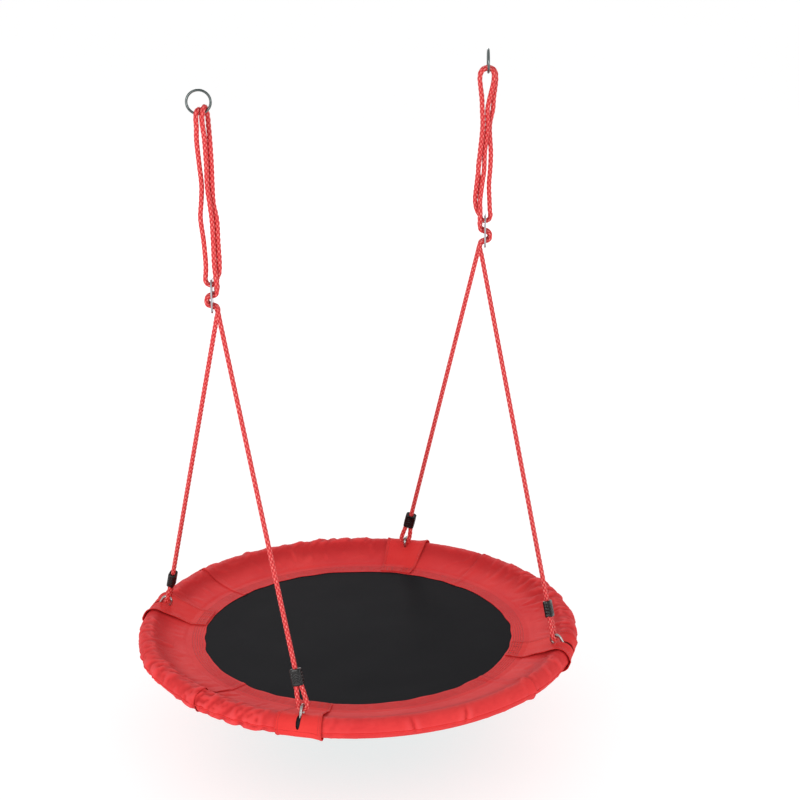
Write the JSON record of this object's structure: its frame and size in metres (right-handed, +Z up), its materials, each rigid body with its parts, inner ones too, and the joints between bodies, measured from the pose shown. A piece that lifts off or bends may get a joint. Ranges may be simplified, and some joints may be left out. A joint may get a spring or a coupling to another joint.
{
  "type": "saucer swing",
  "caption": "Round hanging saucer swing: a black mat in a red padded tube ring, hung from steel rings by red ropes with plate adjusters and black rope clamps.",
  "frame": {"origin": "midway between the two hanging points, which are the highest inner points of the two steel rings", "axes": "+Z up; +X along the line of the rings, from the left ring to the right ring; +Y away from the front, so that the swing goes to and fro along Y"},
  "size_m": [1.0998, 1.0998, 1.472],
  "materials": {
    "cover_fabric": "matte",
    "cuff_fabric": "matte",
    "mat_fabric": "matte",
    "rope": "satin",
    "clamp_plastic": "satin",
    "ring_steel": "satin",
    "adjuster_steel": "polished",
    "eye_steel": "satin",
    "screw_steel": "satin",
    "frame_steel": "satin",
    "foam": "matte"
  },
  "bodies": {
    "hanger_rings": {"hanger_ring_left": "ring_steel", "hanger_ring_right": "ring_steel"},
    "rope_tops": {"rope_left_ring_bight_1": "rope", "rope_left_ring_bight_2": "rope", "rope_right_ring_bight_1": "rope", "rope_right_ring_bight_2": "rope"},
    "strands_left": {"rope_left_strand_1": "rope", "rope_left_strand_2": "rope", "rope_left_strand_3": "rope", "rope_left_strand_4": "rope"},
    "adjuster_left": {"adjuster_plate_left": "adjuster_steel", "rope_left_front_weave": "rope", "rope_left_back_weave": "rope", "rope_left_plate_bight": "rope"},
    "clamps_left": {"rope_clamp_front_left": "clamp_plastic", "rope_clamp_back_left": "clamp_plastic", "rope_left_front_eye_loop": "rope", "rope_left_back_eye_loop": "rope", "rope_left_front_leg": "rope", "rope_left_back_leg": "rope"},
    "strands_right": {"rope_right_strand_1": "rope", "rope_right_strand_2": "rope", "rope_right_strand_3": "rope", "rope_right_strand_4": "rope"},
    "adjuster_right": {"adjuster_plate_right": "adjuster_steel", "rope_right_front_weave": "rope", "rope_right_back_weave": "rope", "rope_right_plate_bight": "rope"},
    "clamps_right": {"rope_clamp_front_right": "clamp_plastic", "rope_clamp_back_right": "clamp_plastic", "rope_right_front_eye_loop": "rope", "rope_right_back_eye_loop": "rope", "rope_right_front_leg": "rope", "rope_right_back_leg": "rope"},
    "seat": {"mat": "mat_fabric", "frame_arc_back_right": "frame_steel", "joint_screw_back_right": "screw_steel", "welded_eye_back_right": "eye_steel", "foam_sleeve_back_right": "foam", "cover_panel_back_right": "cover_fabric", "cuff_back_right": "cuff_fabric", "frame_arc_back_left": "frame_steel", "joint_screw_back_left": "screw_steel", "welded_eye_back_left": "eye_steel", "foam_sleeve_back_left": "foam", "cover_panel_back_left": "cover_fabric", "cuff_back_left": "cuff_fabric", "frame_arc_front_left": "frame_steel", "joint_screw_front_left": "screw_steel", "welded_eye_front_left": "eye_steel", "foam_sleeve_front_left": "foam", "cover_panel_front_left": "cover_fabric", "cuff_front_left": "cuff_fabric", "frame_arc_front_right": "frame_steel", "joint_screw_front_right": "screw_steel", "welded_eye_front_right": "eye_steel", "foam_sleeve_front_right": "foam", "cover_panel_front_right": "cover_fabric", "cuff_front_right": "cuff_fabric"}
  },
  "joints": [
    {"name": "swing", "type": "hinge", "parent": "hanger_rings", "child": "rope_tops", "pos_m": [0, 0, -0.052], "axis": [1, 0, 0], "range_deg": [-30, 30]},
    {"name": "sway_left", "type": "hinge", "parent": "rope_tops", "child": "strands_left", "pos_m": [-0.389, 0, -0.052], "axis": [0, 1, 0], "range_deg": [-12, 12], "deforming": ["rope_left_ring_bight_1", "rope_left_ring_bight_2"]},
    {"name": "adjust_left", "type": "slide", "parent": "strands_left", "child": "adjuster_left", "axis": [0, 0, 1], "range_m": [-0.12, 0.14], "deforming": ["rope_left_strand_1", "rope_left_strand_2", "rope_left_strand_3", "rope_left_strand_4"]},
    {"name": "legs_left", "type": "slide", "parent": "adjuster_left", "child": "clamps_left", "axis": [0, 0, 1], "range_m": [-0.294, 0.252], "deforming": ["rope_left_front_leg", "rope_left_back_leg", "rope_left_front_eye_loop", "rope_left_back_eye_loop"]},
    {"name": "seat_level", "type": "hinge", "parent": "clamps_left", "child": "seat", "pos_m": [-0.35444, 0, -1.39736], "axis": [0, 1, 0], "range_deg": [-13.2, 13.2]},
    {"name": "sway_right", "type": "hinge", "parent": "rope_tops", "child": "strands_right", "pos_m": [0.385, 0, -0.052], "axis": [0, 1, 0], "range_deg": [-12, 12], "deforming": ["rope_right_ring_bight_1", "rope_right_ring_bight_2"]},
    {"name": "adjust_right", "type": "slide", "parent": "strands_right", "child": "adjuster_right", "axis": [0, 0, 1], "range_m": [-0.12, 0.14], "deforming": ["rope_right_strand_1", "rope_right_strand_2", "rope_right_strand_3", "rope_right_strand_4"]},
    {"name": "legs_right", "type": "slide", "parent": "adjuster_right", "child": "clamps_right", "axis": [0, 0, 1], "range_m": [-0.294, 0.252], "deforming": ["rope_right_front_leg", "rope_right_back_leg", "rope_right_front_eye_loop", "rope_right_back_eye_loop"]}
  ],
  "couplings": [
    {"joint": "sway_right", "follows": "sway_left", "ratio": 1},
    {"joint": "seat_level", "follows": "sway_left", "ratio": -1.092},
    {"joint": "adjust_right", "follows": "adjust_left", "ratio": 1},
    {"joint": "legs_left", "follows": "adjust_left", "ratio": -2.1},
    {"joint": "legs_right", "follows": "adjust_left", "ratio": -2.1}
  ]
}
